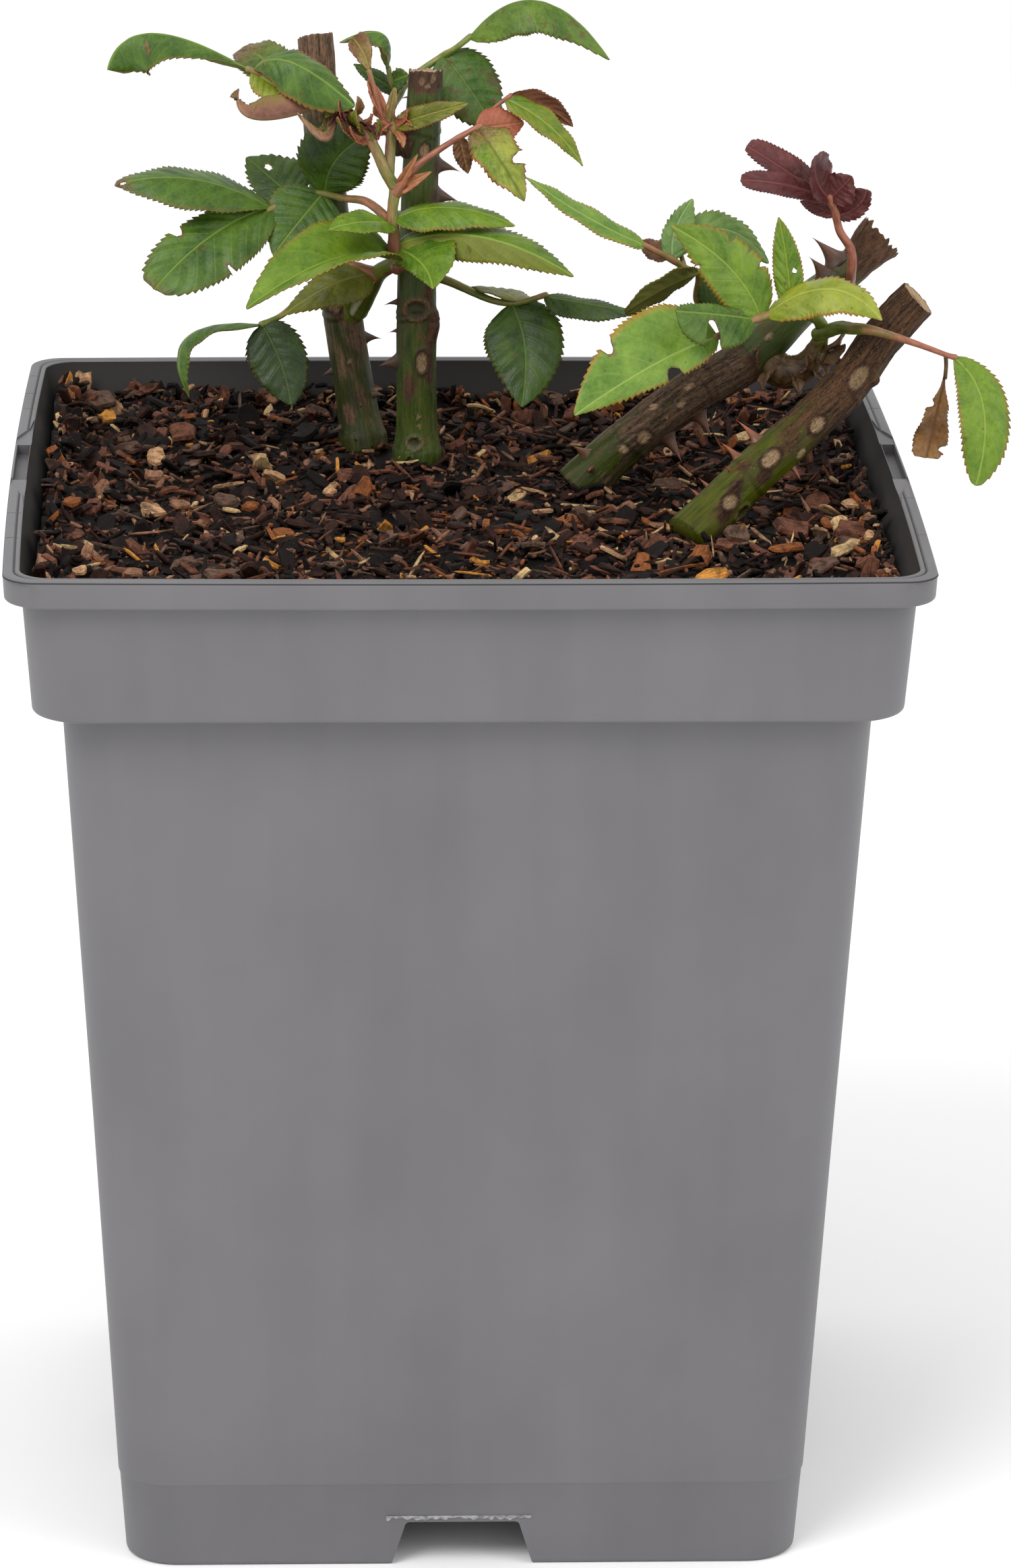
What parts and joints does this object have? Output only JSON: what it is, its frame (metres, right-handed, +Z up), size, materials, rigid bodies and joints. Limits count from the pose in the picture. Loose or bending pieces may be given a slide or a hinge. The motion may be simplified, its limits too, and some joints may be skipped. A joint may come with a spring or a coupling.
{
  "type": "potted rose bush",
  "caption": "Pruned young rose bush in its square nursery pot: thick cut canes rise from bark mulch and carry thorny side shoots with toothed, bitten leaflets.",
  "frame": {"origin": "middle of the part's box at floor level, on the plane of the pot's four flat feet", "axes": "+Z up the plant, -Y towards the plant's front, +X to the right of someone facing that front"},
  "size_m": [0.2145, 0.1922, 0.3173],
  "materials": {
    "pot_plastic": "satin grey moulded plastic with faint flow marks and scuffs along the rim",
    "bark_mulch": "loose chipped bark, dark with reddish, grey and tan splinters",
    "green_bark": "smooth green young rose bark with brown scars and thorns",
    "brown_bark": "older brown rose bark, green towards the foot, with scars and thorns",
    "leaf_dark": "dark green toothed leaflets with pale veins, brown edges and bites",
    "leaf_bright": "bright green toothed leaflets with pale veins and reddish edges",
    "leaf_red": "young dark red leaflets on red stems"
  },
  "bodies": {
    "root": {"pot": "pot_plastic", "mulch": "bark_mulch", "cane_left": "green_bark", "cane_centre": "green_bark", "cane_right_back": "brown_bark", "cane_right_front": "brown_bark", "bough_right": "brown_bark", "shoot_left": "green_bark", "foliage_left_whorl": "leaf_bright", "foliage_left_middle": "leaf_dark", "foliage_left_low": "leaf_dark", "foliage_left_top": "leaf_dark", "foliage_top_centre": "leaf_dark", "foliage_centre_red": "leaf_red", "foliage_centre_low": "leaf_dark", "foliage_back": "leaf_dark", "foliage_right_left": "leaf_bright", "foliage_right_centre": "leaf_bright", "foliage_right_far": "leaf_bright", "foliage_right_red": "leaf_red"}
  },
  "joints": []
}
